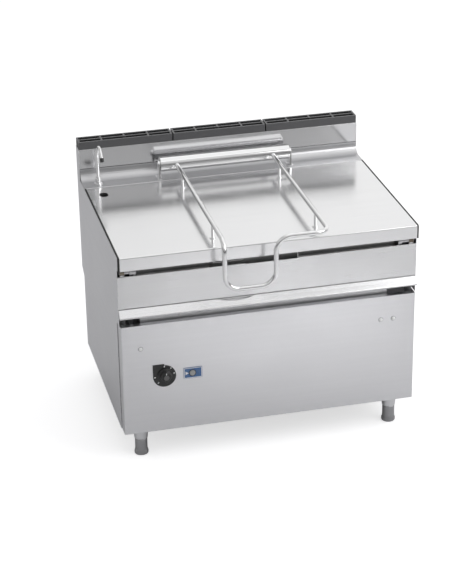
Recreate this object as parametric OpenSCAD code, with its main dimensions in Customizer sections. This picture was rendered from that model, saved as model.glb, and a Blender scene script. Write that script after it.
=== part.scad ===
// Tilting bratt pan on a floor-standing cabinet, gas heated, with a motor driven pan.
// X runs to the right, the front faces -Y, Z is up and the floor is Z = 0.

/* [Overall] */
// Width over the side panels
width = 1200; // [1160:10:1300]
// Depth from the lid's front face to the rear panel
depth = 900; // [890:5:940]
// Height of the lid's top face above the floor
worktop_h = 900; // [880:5:920]
// Height of the flue grates' top above the lid's top face
flue_rise = 165; // [155:1:190]
// Height of the cabinet's underside above the floor
plinth_h = 130; // [120:1:145]

/* [Sheet metal] */
// Thickness of the steel sheet
sheet = 1.5; // [1:0.25:2]
// Outer radius of a folded edge
bend_r = 5; // [4:0.5:7]
// Running gap between sheets that pass each other
sheet_gap = 0.6; // [0.4:0.1:1]

/* [Front face] */
// Set-back of the lower front panel behind the lid's front
panel_set = 17; // [14:1:22]
// Length of the front panel's side returns
panel_return = 58; // [45:1:65]
// Set-back of the apron behind the lid's front
apron_set = 29; // [26:1:34]
// Height of the apron above the ledge
apron_h = 138; // [125:1:150]
// Height of the sloping ledge
ledge_h = 34; // [30:1:38]
// Height of the recess below the ledge
strip_h = 35; // [30:1:40]
// Set-back of the recess strip behind the lid's front
strip_set = 50; // [46:1:56]
// Width of the air slot at the recess strip's left end
slot_left_w = 85; // [60:1:100]
// Width of the air slot at the recess strip's right end
slot_right_w = 110; // [80:1:130]
// Diameter of the flame viewing hole
view_hole_d = 14; // [10:1:16]
// Place of the flame viewing hole across the front
view_hole_x = -275; // [-320:5:-240]

/* [Lid] */
// Depth of the lid's front skirt
lid_skirt = 55; // [50:1:60]
// Depth of the lid's side skirts
lid_side_skirt = 40; // [30:1:45]
// Depth of the lid's rear skirt
lid_rear_skirt = 15; // [12:1:18]
// Length of the lid from front to rear
lid_len = 731; // [720:1:740]
// Thickness of the rubber edge strips
seal_t = 6; // [5:0.5:8]
// Width of the slot that the tap passes through
tap_slot_w = 34; // [32:1:38]
// Length of the slot that the tap passes through
tap_slot_len = 48; // [46:1:52]
// Depth of the stiffening channels under the lid
stiffener_h = 22; // [15:1:25]

/* [Lid hinge and handle] */
// Height of the hinge axis above the lid's top face
hinge_rise = 60; // [58:1:66]
// Distance of the hinge axis behind the lid's rear edge
hinge_back = 36; // [34:1:40]
// Diameter of the spring housing tube
hinge_tube_d = 62; // [56:1:66]
// Wall of the spring housing tube
hinge_tube_wall = 2.5; // [2:0.5:4]
// Left end of the spring housing tube
hinge_x0 = -273; // [-285:1:-260]
// Right end of the spring housing tube
hinge_x1 = 280; // [270:1:290]
// Diameter of the fixed hinge shaft
hinge_shaft_d = 20; // [16:1:24]
// Thickness of the hinge brackets
hinge_bracket_t = 8; // [6:1:10]
// Diameter of the balance springs' wire
spring_wire_d = 5; // [4:0.5:6]
// Diameter of the handle tube
handle_d = 19; // [18:0.5:20]
// Distance of the handle's arms from the middle
handle_arm_x = 206; // [200:1:212]
// Reach of the handle's loop in front of the lid
handle_reach = 95; // [80:1:110]
// Depth of the handle's loop below its arms
handle_drop = 197; // [180:1:215]
// Diameter of the posts between the handle and the lid
post_d = 12; // [10:1:14]

/* [Pan] */
// Room beside the pan for the tilt drive, from its inside to the cabinet's side
drive_room = 78; // [77:1:90]
// Inside depth of the pan, front to rear
pan_in_len = 495; // [480:1:498]
// Height of the pan's wall above its floor
pan_in_h = 198; // [170:1:205]
// Wall thickness of the pan
pan_wall = 3; // [2:0.5:4]
// Thickness of the pan's floor
pan_floor_t = 8; // [6:1:9]
// Height of the sloping rim
rim_h = 30; // [24:1:34]
// Distance of the rim from the cabinet's outer face
rim_side_gap = 40; // [38:1:50]
// Thickness of the heated base plate
base_plate_t = 8; // [6:1:9]
// Thickness of the insulated jacket
jacket_t = 12; // [8:1:13]
// Place of the pouring spout's middle across the front
spout_x = -165; // [-180:1:-150]
// Width of the pouring spout at the pan
spout_w = 134; // [128:1:150]
// Width of the pouring spout at its lip
spout_lip_w = 120; // [100:1:126]
// Reach of the spout in front of the pan
spout_reach = 34; // [32:1:38]
// Depth of the spout at the pan
spout_root_h = 30; // [24:1:30]
// Depth of the spout at its lip
spout_lip_h = 9; // [8:1:10]

/* [Tilt drive] */
// Diameter of the trunnion pins
trunnion_d = 20; // [16:1:24]
// Radial running clearance of the trunnion pins
trunnion_fit = 0.05; // [0.02:0.01:0.1]
// Wall of the trunnion bushes
bush_wall = 3; // [2:0.5:4]
// Module of the gear teeth
gear_module = 4; // [3.5:0.1:4.2]
// Teeth of the whole sector circle
sector_teeth = 150; // [146:2:152]
// Teeth of the drive pinion
pinion_teeth = 16; // [15:1:18]
// Thickness of the toothed sector
sector_t = 10; // [8:1:11]
// Gap between the gear flanks
backlash = 0.5; // [0.3:0.1:0.8]

/* [Feet] */
// Distance of the feet from the side panels' outer face
foot_side_in = 80; // [60:1:100]
// Distance of the front feet behind the lid's front
foot_front_in = 90; // [80:1:110]
// Distance of the rear feet in front of the rear panel
foot_rear_in = 105; // [95:1:130]
// Diameter of the foot sleeve at its base
foot_d = 57; // [50:1:60]
// Height of the foot sleeve
foot_h = 70; // [60:1:75]
// Diameter of the levelling stud
stud_d = 16; // [12:1:18]

/* [Controls] */
// Place of the knob across the front
knob_x = -428; // [-440:1:-420]
// Height of the knob's axis below the front panel's top edge
knob_drop = 226; // [210:1:240]
// Diameter of the knob
knob_d = 57; // [50:1:60]
// Diameter of the knob's spindle
spindle_d = 8; // [6:1:10]
// Radius of the dial bezel
bezel_r = 46; // [44:1:48]
// Width of the switch plate
plate_w = 75; // [70:1:80]
// Height of the switch plate
plate_h = 47; // [44:1:50]
// Distance of the switch plate's middle from the knob
plate_dx = 112; // [105:1:120]
// Diameter of the push button
button_d = 22; // [20:1:24]
// Diameter of the indicator lamps
lamp_d = 17; // [14:1:20]
// Height of the lamps below the front panel's top edge
lamp_drop = 103; // [95:1:115]

/* [Tap] */
// Distance of the tap from the left side panel
tap_side_in = 67; // [64:1:70]
// Diameter of the tap's spout pipe
tap_pipe_d = 13; // [12:1:14]
// Radius of the gooseneck's arch
arch_r = 61; // [60:0.5:62]
// Height of the arch's centre above the lid's top face
arch_rise = 118; // [116:1:120]
// Angle that the arch turns through
arch_sweep = 145; // [140:1:155]
// Length of the aerator at the arch's end
aerator_len = 15; // [12:1:18]
// Diameter of the tap's body
tap_body_d = 30; // [26:1:32]

/* [Flue] */
// Depth of the flue at the grates
flue_depth = 66; // [60:1:70]
// Height of the flue grates
grate_h = 33; // [28:1:36]
// Thickness of the grate bars
grate_bar = 6.5; // [6:0.5:9]
// Height of the step in the rear panel
rear_step_z = 480; // [440:5:520]
// Depth of the step in the rear panel
rear_step = 46; // [40:1:55]

/* [Burners] */
// Number of burner tubes
burner_count = 6; // [4:1:8]
// Diameter of a burner tube
burner_d = 32; // [28:1:36]
// Diameter of the gas pipe
gas_pipe_d = 26; // [20:1:30]

/* [Hidden] */
$fn = 48;
x_out = width / 2;
x_in = x_out - sheet;
y_back = (depth + handle_reach + handle_d / 2) / 2;
y_front = y_back - depth;
panel_y = y_front + panel_set;
apron_y = y_front + apron_set;
strip_y = y_front + strip_set;
lid_z0 = worktop_h - lid_skirt;
rim_gap = 35;
apron_top = lid_z0 - rim_gap;
ledge_top = apron_top - apron_h;
ledge_z0 = ledge_top - ledge_h;
panel_top = ledge_z0 - strip_h;
back_top = worktop_h + flue_rise - grate_h;
splash_y = y_back - flue_depth;
step_y = y_back - rear_step;
step_run = 28;

// Lid and hinge
lid_rear = y_front + lid_len;
lid_x = x_in - sheet_gap - seal_t;
hinge_y = lid_rear + hinge_back;
hinge_z = worktop_h + hinge_rise;
hinge_r = hinge_tube_d / 2;
deck_y = lid_rear + 2;
cove_r = splash_y - 2 - (hinge_y + 25);

// Pan, pivot and rim
pan_in_w = width - 2 * drive_room;
pivot_y = apron_y + 13;
pivot_z = apron_top + 14;
pan_y0 = strip_y + 6;
rim_z = lid_z0 - 7;
rim_x = x_out - rim_side_gap;
rim_y1 = pan_y0 + 2 * pan_wall + pan_in_len + 33;
pan_x = pan_in_w / 2 + pan_wall;
pan_y1 = pan_y0 + 2 * pan_wall + pan_in_len;
pan_z0 = rim_z - pan_in_h - pan_floor_t;
floor_z = pan_z0 + pan_floor_t;
pan_corner_r = 12;
seam = 0.05;
rim_front = pan_y0 + 16;
jacket_x = pan_x + jacket_t;
jacket_top = rim_z - 70;
lug_t = 8;
sector_x = jacket_x + 4;
pin_end = x_out - 10;
bracket_t = 18;
bracket_x = pin_end - 2 - bracket_t;
pin_r = trunnion_d / 2;
bush_r = pin_r + trunnion_fit + bush_wall;
swing_r = norm([rim_y1 - pivot_y, rim_z - pivot_z]);

// Gears
pressure_angle = 25;
sector_r = gear_module * sector_teeth / 2;
pinion_r = gear_module * pinion_teeth / 2;
mesh_angle = -30;
sector_from = mesh_angle - 53;
sector_to = mesh_angle + 5;
gear_dist = sector_r + pinion_r;
pinion_y = pivot_y + gear_dist * cos(mesh_angle);
pinion_z = pivot_z + gear_dist * sin(mesh_angle);
pinion_w = sector_t + 4;
pinion_x0 = sector_x - 2;
pinion_shaft_r = 10;
gearbox_x = pinion_x0 + pinion_w + 2;

// Combustion chamber
chamber_x = pan_x - 20;
chamber_y0 = pan_y0 + 28;
chamber_y1 = pan_y1 - 12;
chamber_top = pan_z0 - base_plate_t - 2;
chamber_h = 150;
chamber_z0 = chamber_top - chamber_h;
beam_h = 30;
burner_z = chamber_z0 + 50;
burner_pitch = 2 * (chamber_x - 80) / (burner_count - 1);
manifold_y = chamber_y0 - 22;
manifold_r = 11;

// Feet
foot_x = x_out - foot_side_in;
foot_y = [y_front + foot_front_in, y_back - foot_rear_in];
collar_gap = 0.5;

// Controls
knob_z = panel_top - knob_drop;
plate_x = knob_x + plate_dx;
plate_z = knob_z - 6;
button_x = plate_x - 2;
lamp_z = panel_top - lamp_drop;
lamp_xs = [-x_out + 79, x_out - 145, x_out - 93];
bezel_t = 3;
plate_t = 2.5;

// Tap
tap_x = -x_out + tap_side_in;
tap_y = hinge_y + 6;
tap_pipe_r = tap_pipe_d / 2;
arch_z = worktop_h + arch_rise;
slot_y = tap_y - 2 * arch_r - 4;

// Plane geometry for folded sheet
function unit(v) = v / norm(v);
function left_of(v) = [-v[1], v[0]];
function arc(c, r, a0, a1, n) = [for (i = [0:n]) c + r * [cos(a0 + (a1 - a0) * i / n), sin(a0 + (a1 - a0) * i / n)]];
function turn_to(a, b) = b - a > 180 ? b - a - 360 : (b - a < -180 ? b - a + 360 : b - a);
function corner_arc(a, b, c, r, n) =
    let (u = unit(a - b), v = unit(c - b))
    let (half = acos(u * v) / 2, m = b + unit(u + v) * r / sin(half))
    let (p = b + u * r / tan(half) - m, q = b + v * r / tan(half) - m)
    let (a0 = atan2(p[1], p[0]), a1 = atan2(q[1], q[0]))
    arc(m, r, a0, a0 + turn_to(a0, a1), n);
function folded(pts, r, n = 4) = concat(
    [pts[0]],
    [for (i = [1:len(pts) - 2]) each corner_arc(pts[i - 1], pts[i], pts[i + 1], r, n)],
    [pts[len(pts) - 1]]);
function normal_at(p, i) =
    let (n1 = i > 0 ? left_of(unit(p[i] - p[i - 1])) : left_of(unit(p[1] - p[0])))
    let (n2 = i < len(p) - 1 ? left_of(unit(p[i + 1] - p[i])) : n1)
    let (m = unit(n1 + n2))
    m / (m * n1);
function ribbon(p, t) = concat(p, [for (i = [len(p) - 1:-1:0]) p[i] + t * normal_at(p, i)]);

// Extrusion along X of a profile drawn in Y and Z
module along_x(x0, x1) {
    translate([x0, 0, 0]) rotate([90, 0, 90]) linear_extrude(x1 - x0) children();
}
// Extrusion along Y of a profile drawn in X and Z
module along_y(y0, y1) {
    translate([0, y1, 0]) rotate([90, 0, 0]) linear_extrude(y1 - y0) children();
}
// Folded sheet: its outer face follows the points, and it thickens to the left of them
module sheet_along_x(x0, x1, pts, r = bend_r, t = sheet) {
    along_x(x0, x1) polygon(ribbon(folded(pts, r), t));
}
module box(a, b) {
    translate(a) cube(b - a);
}
module rod_x(x0, x1, y, z, r) {
    translate([x0, y, z]) rotate([0, 90, 0]) cylinder(h = x1 - x0, r = r);
}
module rod_y(y0, y1, x, z, r) {
    translate([x, y0, z]) rotate([-90, 0, 0]) cylinder(h = y1 - y0, r = r);
}
module rod_z(z0, z1, x, y, r) {
    translate([x, y, z0]) cylinder(h = z1 - z0, r = r);
}
module round_rect(x0, y0, x1, y1, r) {
    translate([x0 + r, y0]) square([x1 - x0 - 2 * r, y1 - y0]);
    translate([x0, y0 + r]) square([x1 - x0, y1 - y0 - 2 * r]);
    for (x = [x0 + r, x1 - r], y = [y0 + r, y1 - r]) translate([x, y]) circle(r);
}
module mirrored_x() {
    children();
    mirror([1, 0, 0]) children();
}

// Bent tube along points in space, with one bend radius
module axes_at(o, x, y, z) {
    multmatrix([[x[0], y[0], z[0], o[0]], [x[1], y[1], z[1], o[1]], [x[2], y[2], z[2], o[2]], [0, 0, 0, 1]])
        children();
}
function any_normal(d) = unit(cross(d, abs(d[2]) < 0.9 ? [0, 0, 1] : [1, 0, 0]));
module rod_between(a, b, r) {
    d = unit(b - a);
    n = any_normal(d);
    axes_at(a, n, cross(d, n), d) cylinder(h = norm(b - a), r = r);
}
function bend_angle(p, i) = acos(unit(p[i] - p[i - 1]) * unit(p[i + 1] - p[i]));
function bend_cut(p, i, radii) = i == 0 || i == len(p) - 1 ? 0 : radii[i] * tan(bend_angle(p, i) / 2);
module bent_tube(p, radii, r) {
    for (i = [0:len(p) - 2]) {
        d = unit(p[i + 1] - p[i]);
        rod_between(p[i] + d * bend_cut(p, i, radii), p[i + 1] - d * bend_cut(p, i + 1, radii), r);
    }
    for (i = [1:len(p) - 2]) {
        d = unit(p[i] - p[i - 1]);
        e = unit(p[i + 1] - p[i]);
        n = unit(e - d * (e * d));
        axes_at(p[i] - d * bend_cut(p, i, radii) + n * radii[i], -n, d, cross(-n, d))
            rotate_extrude(angle = bend_angle(p, i)) translate([radii[i], 0]) circle(r);
    }
}

// Involute gear outline, drawn about the origin with tooth number 0 on the X axis
function inv_deg(r, rb) = let (a = acos(rb / r)) tan(a) * 180 / PI - a;
function flank(m, n, sign, tip) =
    let (rp = m * n / 2, rb = rp * cos(pressure_angle))
    let (half = 90 / n - backlash / 4 / rp * 180 / PI + inv_deg(rp, rb))
    let (r0 = max(rb, rp - 1.2 * m))
    [for (i = [0:6]) let (r = r0 + (tip - r0) * i / 6, a = sign * (half - inv_deg(r, rb))) r * [cos(a), sin(a)]];
function spun(pts, a) = [for (p = pts) [p[0] * cos(a) - p[1] * sin(a), p[0] * sin(a) + p[1] * cos(a)]];
function reversed(pts) = [for (i = [len(pts) - 1:-1:0]) pts[i]];
function tooth(m, n, k) =
    let (rp = m * n / 2, tip = rp + 0.9 * m, root = rp - 1.2 * m)
    let (low = flank(m, n, -1, tip), high = flank(m, n, 1, tip))
    let (a0 = atan2(low[0][1], low[0][0]), a1 = atan2(high[0][1], high[0][0]))
    spun(concat([root * [cos(a0), sin(a0)]], low, reversed(high), [root * [cos(a1), sin(a1)]]), k * 360 / n);

// Cabinet
module c_rail_x(x0, x1, y0, y1, z0, z1) {
    along_x(x0, x1) polygon(ribbon([[y1, z0], [y0, z0], [y0, z1], [y1, z1]], -2));
}
frame_rail = 38;
module base_frame() {
    rail = frame_rail;
    y0 = panel_y + panel_return + 2;
    y1 = step_y - sheet;
    z0 = plinth_h;
    color("gainsboro") difference() {
        union() {
            c_rail_x(-x_in, x_in, y0, y0 + rail, z0, z0 + rail);
            mirror([0, 1, 0]) c_rail_x(-x_in, x_in, -y1, -y1 + rail, z0, z0 + rail);
            mirrored_x() translate([x_in - rail, 0, 0]) box([0, y0 + rail, z0], [rail, y1 - rail, z0 + 2]);
            mirrored_x() box([x_in - 2, y0 + rail, z0], [x_in, y1 - rail, z0 + rail]);
            for (x = [-foot_x, foot_x], y = foot_y) box([x - 45, y - 45, z0], [x + 45, y + 45, z0 + 6]);
            for (x = [-180, 180]) box([x - 20, y0 + rail, z0], [x + 20, y1 - rail, z0 + 3]);
        }
        for (x = [-foot_x, foot_x], y = foot_y) rod_z(z0 - 1, z0 + 7, x, y, stud_d / 2 + 0.5);
    }
}
module corner_posts() {
    leg = 28;
    z0 = plinth_h + frame_rail;
    color("silver") mirrored_x() {
        along_z_angle(x_in, panel_y + panel_return + 2, leg, 1, z0, jacket_top - 20);
        along_z_angle(x_in, step_y - sheet, leg, -1, z0, rear_step_z - step_run - 4);
        along_z_angle(x_in, y_back - sheet, leg, -1, rear_step_z + 6, back_top - 6);
    }
}
module along_z_angle(x, y, leg, side, z0, z1) {
    box([x - 2, side > 0 ? y : y - leg, z0], [x, side > 0 ? y + leg : y, z1]);
    box([x - leg, side > 0 ? y : y - 2, z0], [x, side > 0 ? y + 2 : y, z1]);
}
side_outline = [
    [panel_y + panel_return, plinth_h], [step_y, plinth_h], [step_y, rear_step_z - step_run],
    [y_back, rear_step_z], [y_back, back_top], [splash_y, back_top], [splash_y, worktop_h - 2],
    [y_front + 10, worktop_h - 2], [y_front + 10, lid_z0 + 4], [apron_y, lid_z0 - 12],
    [apron_y, panel_top], [panel_y + panel_return, panel_top]];
module side_panel_left() {
    color("lightgray") along_x(-x_out, -x_in) polygon(side_outline);
}
module side_panel_right() {
    mirror([1, 0, 0]) side_panel_left();
}
module front_panel() {
    x = x_out - 3;
    back = panel_y + panel_return - 1;
    z1 = panel_top - 2;
    color("gainsboro") difference() {
        union() {
            translate([0, 0, plinth_h]) linear_extrude(z1 - plinth_h)
                polygon(ribbon(folded([[-x, back], [-x, panel_y], [x, panel_y], [x, back]], bend_r), sheet));
            for (z = [plinth_h, z1 - sheet]) box([-x + bend_r, panel_y + sheet, z], [x - bend_r, panel_y + 22, z + sheet]);
        }
        rod_y(panel_y - 1, panel_y + 3, knob_x, knob_z, spindle_d / 2 + 3);
        box([plate_x - 26, panel_y - 1, plate_z - 14], [plate_x + 26, panel_y + 3, plate_z + 14]);
        for (lx = lamp_xs) rod_y(panel_y - 1, panel_y + 3, lx, lamp_z, lamp_d / 2 - 2);
    }
}
recess_x = [-214, -55];
recess_reach = 11;
function recess_outline(inset, grow) =
    let (mid = (recess_x[0] + recess_x[1]) / 2, half = (recess_x[1] - recess_x[0]) / 2 - inset)
    [for (i = [0:16]) let (t = -1 + i / 8)
        [mid + half * t, apron_y + grow - (recess_reach - inset) * pow(cos(90 * t), 0.8)]];
module ledge() {
    x = x_in;
    rear = strip_y + sheet;
    pts = [[apron_y + 10, ledge_top - 1], [apron_y - 1, ledge_top - 1], [y_front + 0.4, ledge_z0 + 6],
        [y_front + 6, ledge_z0], [rear, ledge_z0]];
    color("whitesmoke") difference() {
        union() {
            sheet_along_x(-x, x, pts, 4);
            mirrored_x() along_x(x - sheet, x) polygon(folded(pts, 4));
        }
        translate([0, 0, ledge_z0 + 8]) linear_extrude(ledge_h) polygon(recess_outline(0, 0.3));
    }
}
module pouring_recess() {
    x0 = recess_x[0];
    floor_z = ledge_top - 13;
    color("dimgray") difference() {
        intersection() {
            translate([0, 0, floor_z]) linear_extrude(ledge_h) polygon(recess_outline(0.3, 0));
            along_x(x0, recess_x[1]) polygon([[apron_y, ledge_top - 2.7], [apron_y - 20, ledge_top - 24],
                [apron_y - 20, floor_z - 9], [apron_y, floor_z - 1]]);
        }
        translate([0, 0, floor_z + 1.5]) linear_extrude(ledge_h) polygon(recess_outline(2, -1.5));
    }
}
screw_xs = [-360, 360];
screw_z = (panel_top + ledge_z0) / 2 - 4;
screw_r = 2.4;
module recess_strip() {
    x0 = -x_in + slot_left_w;
    x1 = x_in - slot_right_w;
    color("darkgray") difference() {
        sheet_along_x(x0, x1, [[strip_y, ledge_z0], [strip_y, panel_top - 10], [panel_y + 24, panel_top - 10]], 3);
        for (x = screw_xs) rod_y(strip_y - 1, strip_y + 3, x, screw_z, screw_r + 0.1);
        rod_y(strip_y - 1, strip_y + 30, view_hole_x, (panel_top + ledge_z0) / 2, view_hole_d / 2);
    }
}
notch_h = 4;
notch_x1 = 115;
drip_plate_h = 10;
module apron() {
    pts = [[apron_y + 10, ledge_top], [apron_y, ledge_top], [apron_y, apron_top], [apron_y + 12, apron_top]];
    notch_x0 = spout_x - spout_w / 2 - 4;
    plate_x1 = spout_x + spout_w / 2 + 4;
    color("gainsboro") {
        difference() {
            sheet_along_x(-x_in, x_in, pts, 3, -sheet);
            box([notch_x0, apron_y - 1, apron_top - notch_h], [notch_x1, apron_y + 20, apron_top + 1]);
            mirrored_x() box([pan_x - 4, apron_y + 2, apron_top - 5], [x_in + 1, apron_y + 20, apron_top + 1]);
        }
        along_y(apron_y - 1, apron_y + 0.2)
            round_rect(notch_x0, apron_top - drip_plate_h, plate_x1, apron_top - 0.5, 4);
        box([notch_x1, apron_y + 0.5, apron_top - notch_h - 6], [notch_x1 + 2, apron_y + 9, apron_top + 18]);
    }
}
module rear_deck() {
    y1 = splash_y - 2;
    profile = concat([[deck_y, worktop_h - 22]], corner_arc([deck_y, worktop_h - 22], [deck_y, worktop_h],
        [y1, worktop_h], 3, 4), arc([y1 - cove_r, worktop_h + cove_r], cove_r, -90, 0, 8),
        [[y1, worktop_h + cove_r + 6], [y1 + 6, worktop_h + cove_r + 6]]);
    color("silver") difference() {
        along_x(-x_in, x_in) polygon(ribbon(profile, -sheet));
        rod_z(worktop_h - 5, worktop_h + 5, tap_x, tap_y, 8);
    }
}
module backsplash() {
    color("silver") sheet_along_x(-x_in, x_in, [[splash_y + 14, back_top], [splash_y, back_top],
        [splash_y, worktop_h + cove_r + 8]], 3);
}
module rear_panel_upper() {
    z0 = rear_step_z + sheet + 0.1;
    color("lightgray") sheet_along_x(-x_in, x_in, [[y_back, z0], [y_back, back_top], [y_back - 12, back_top]], 3);
}
module rear_panel_lower() {
    color("lightgray") difference() {
        along_x(-x_in, x_in) polygon(ribbon([[step_y, plinth_h], [step_y, rear_step_z - step_run],
            [y_back, rear_step_z]], sheet));
        rod_y(step_y - 3, step_y + 1, gas_x, gas_z, gas_pipe_d / 2 + 1);
        rod_y(step_y - 3, step_y + 1, tap_x, water_z, 12);
        rod_y(step_y - 3, step_y + 1, gland_x, gas_z, 12);
    }
}
gutter_lip = sqrt(pow(swing_r + 5, 2) - pow(rim_z + 4 - pivot_z, 2)) + pivot_y;
gutter_slope = (worktop_h - 32 - rim_z - 8) / (deck_y - 18 - gutter_lip);
module rear_gutter() {
    x = lid_x - 6;
    strap_y = (gutter_lip + 10 + deck_y - 8) / 2;
    strap_z = rim_z + 8 + (strap_y - gutter_lip - 10) * gutter_slope + 1;
    color("silver") {
        along_x(-x, x) polygon(ribbon([[gutter_lip, rim_z - 6], [gutter_lip, rim_z + 4],
            [gutter_lip + 10, rim_z + 8], [deck_y - 8, worktop_h - 32], [deck_y, worktop_h - 22.3],
            [deck_y + 20, worktop_h - 22.3]], -sheet));
        mirrored_x() box([x, strap_y, strap_z - 30], [x_in, strap_y + 2, strap_z]);
    }
}
module support_beams() {
    color("silver") for (y = [chamber_y0 + 30, chamber_y1 - 50])
        c_rail_x(-x_in, x_in, y, y + beam_h, chamber_z0 - beam_h, chamber_z0);
}
duct_x = 380;
module flue_duct() {
    z0 = chamber_z0 + 20;
    y0 = chamber_y1;
    y1 = splash_y + 8;
    y2 = y_back - sheet - 2;
    color("slategray") difference() {
        union() {
            box([-duct_x, y0, z0], [duct_x, y2, chamber_top - 10]);
            box([-duct_x, y1, z0], [duct_x, y2, back_top - sheet - 0.1]);
        }
        box([-duct_x + 2, y0 - 1, z0 + 2], [duct_x - 2, y2 - 2, chamber_top - 12]);
        box([-duct_x + 2, y1 + 2, z0 + 2], [duct_x - 2, y2 - 2, back_top + 1]);
    }
}
module flue_grate(x0, x1) {
    y0 = splash_y + 0.5;
    y1 = y_back - 0.5;
    z0 = back_top;
    z1 = back_top + grate_h;
    mid = (y0 + y1) / 2;
    span = x1 - x0;
    color("dimgray") {
        difference() {
            box([x0, y0, z0], [x1, y1, z1]);
            box([x0 + grate_bar, y0 + grate_bar, z0 - 1], [x1 - grate_bar, y1 - grate_bar, z1 + 1]);
        }
        box([x0 + 1, mid - grate_bar / 2, z0 + 4], [x1 - 1, mid + grate_bar / 2, z1]);
        for (t = [0.25, 0.75]) box([x0 + span * t - grate_bar / 2, y0 + 1, z0 + 4], [x0 + span * t + grate_bar / 2, y1 - 1, z1]);
        box([x0 + span / 2 - grate_bar / 2, mid, z0 + 4], [x0 + span / 2 + grate_bar / 2, y1 - 1, z1]);
        rod_z(z0 + 4, z1, x0 + span / 2, mid, grate_bar);
    }
}
grate_split = width / 6;
grate_gap = 3;
module flue_grate_left() {
    flue_grate(-x_out + 2, -grate_split - grate_gap);
}
module flue_grate_middle() {
    flue_grate(-grate_split + grate_gap, grate_split - grate_gap);
}
module flue_grate_right() {
    flue_grate(grate_split + grate_gap, x_out - 2);
}

// Feet
module leg_collars() {
    color("silver") for (x = [-foot_x, foot_x], y = foot_y) translate([x, y, 0])
        rotate_extrude() polygon([[stud_d / 2 + 0.05, foot_h + collar_gap], [foot_d / 2 - 3, foot_h + collar_gap],
            [foot_d / 2 - 1.5, foot_h + 3], [foot_d / 2 + 3, plinth_h - 6], [foot_d / 2 + 6, plinth_h - 5],
            [foot_d / 2 + 6, plinth_h], [stud_d / 2 + 0.05, plinth_h]]);
}
module foot(x, y) {
    r = foot_d / 2;
    color("gray") translate([x, y, 0]) rotate_extrude() polygon([[0, 0], [r - 4, 0], [r - 1.2, 1.2], [r, 4],
        [r, 12], [r - 3.5, 22], [r - 3.5, foot_h - 2], [r - 5, foot_h], [stud_d / 2, foot_h],
        [stud_d / 2, plinth_h + 10], [0, plinth_h + 10]]);
}
module foot_front_left() {
    foot(-foot_x, foot_y[0]);
}
module foot_front_right() {
    foot(foot_x, foot_y[0]);
}
module foot_rear_left() {
    foot(-foot_x, foot_y[1]);
}
module foot_rear_right() {
    foot(foot_x, foot_y[1]);
}

// Lid hinge, fixed side
shaft_fit = 0.05;
module hinge_bracket(x0) {
    r = hinge_shaft_d / 2;
    color("silver") {
        difference() {
            along_x(x0, x0 + hinge_bracket_t) {
                translate([hinge_y, hinge_z]) circle(r + 7);
                polygon([[hinge_y - r - 7, hinge_z], [hinge_y - 24, worktop_h + 5], [hinge_y - 24, worktop_h],
                    [hinge_y + 24, worktop_h], [hinge_y + 24, worktop_h + 5], [hinge_y + r + 7, hinge_z]]);
            }
            rod_x(x0 - 1, x0 + hinge_bracket_t + 1, hinge_y, hinge_z, r);
        }
        box([x0 - 8, hinge_y - 22, worktop_h], [x0 + hinge_bracket_t + 8, hinge_y + 22, worktop_h + 4]);
    }
}
module hinge_brackets() {
    hinge_bracket(hinge_x0 - 1 - hinge_bracket_t);
    hinge_bracket(hinge_x1 + 1);
}
module hinge_shaft() {
    color("dimgray") rod_x(hinge_x0 - 1 - hinge_bracket_t - 4, hinge_x1 + 1 + hinge_bracket_t + 4,
        hinge_y, hinge_z, hinge_shaft_d / 2);
}

// Pan trunnions, fixed side
module trunnion_brackets() {
    y0 = apron_y + 3;
    y1 = rim_front - 2;
    z0 = pivot_z - 124;
    z1 = pivot_z + 18;
    color("gray") mirrored_x() difference() {
        union() {
            along_x(bracket_x, bracket_x + bracket_t)
                polygon(concat([[y0, z0], [y1, z0]], arc([y1 - 6, z1 - 6], 6, 0, 90, 4), arc([y0 + 6, z1 - 6], 6, 90, 180, 4)));
            box([bracket_x + 4, y0, z0], [x_in, y1, z0 + 80]);
        }
        rod_x(bracket_x - 1, bracket_x + bracket_t + 1, pivot_y, pivot_z, bush_r);
    }
}
module trunnion_bushes() {
    color("goldenrod") mirrored_x() difference() {
        rod_x(bracket_x, bracket_x + bracket_t, pivot_y, pivot_z, bush_r);
        rod_x(bracket_x - 1, bracket_x + bracket_t + 1, pivot_y, pivot_z, pin_r + trunnion_fit);
    }
}

// Heating
function burner_x(i) = -chamber_x + 80 + i * burner_pitch;
module combustion_chamber() {
    color("slategray") difference() {
        box([-chamber_x, chamber_y0, chamber_z0], [chamber_x, chamber_y1, chamber_top]);
        box([-chamber_x + 12, chamber_y0 + 12, chamber_z0 - 1], [chamber_x - 12, chamber_y1 - 12, chamber_top + 1]);
        box([-duct_x + 14, chamber_y1 - 13, chamber_z0 + 40], [duct_x - 14, chamber_y1 + 1, chamber_top - 24]);
        for (i = [0:burner_count - 1]) rod_y(chamber_y0 - 1, chamber_y0 + 13, burner_x(i), burner_z, 12);
    }
}
module burners() {
    color("gray") for (i = [0:burner_count - 1]) {
        rod_y(chamber_y0 + 12, chamber_y1 - 12, burner_x(i), burner_z, burner_d / 2);
        rod_y(chamber_y0 - 4, chamber_y0 + 12, burner_x(i), burner_z, 11.7);
    }
}
module gas_manifold() {
    color("goldenrod") {
        rod_x(-chamber_x + 50, chamber_x - 50, manifold_y, burner_z, manifold_r);
        for (i = [0:burner_count - 1]) rod_y(manifold_y + manifold_r - 2, chamber_y0 - 4, burner_x(i), burner_z, 5);
    }
}
valve_y0 = panel_y + sheet;
module gas_valve() {
    color("darkgray") {
        difference() {
            box([knob_x - 28, valve_y0, knob_z - 40], [knob_x + 28, valve_y0 + 46, knob_z + 40]);
            rod_y(valve_y0 - 1, valve_y0 + 30, knob_x, knob_z, spindle_d / 2 + 0.05);
        }
        difference() {
            rod_z(knob_z + 40, burner_z, knob_x, manifold_y, 8);
            rod_x(knob_x - 9, knob_x + 9, manifold_y, burner_z, manifold_r);
        }
        rod_z(knob_z - 58, knob_z - 40, knob_x, valve_y0 + 24, 9);
    }
}
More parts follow.
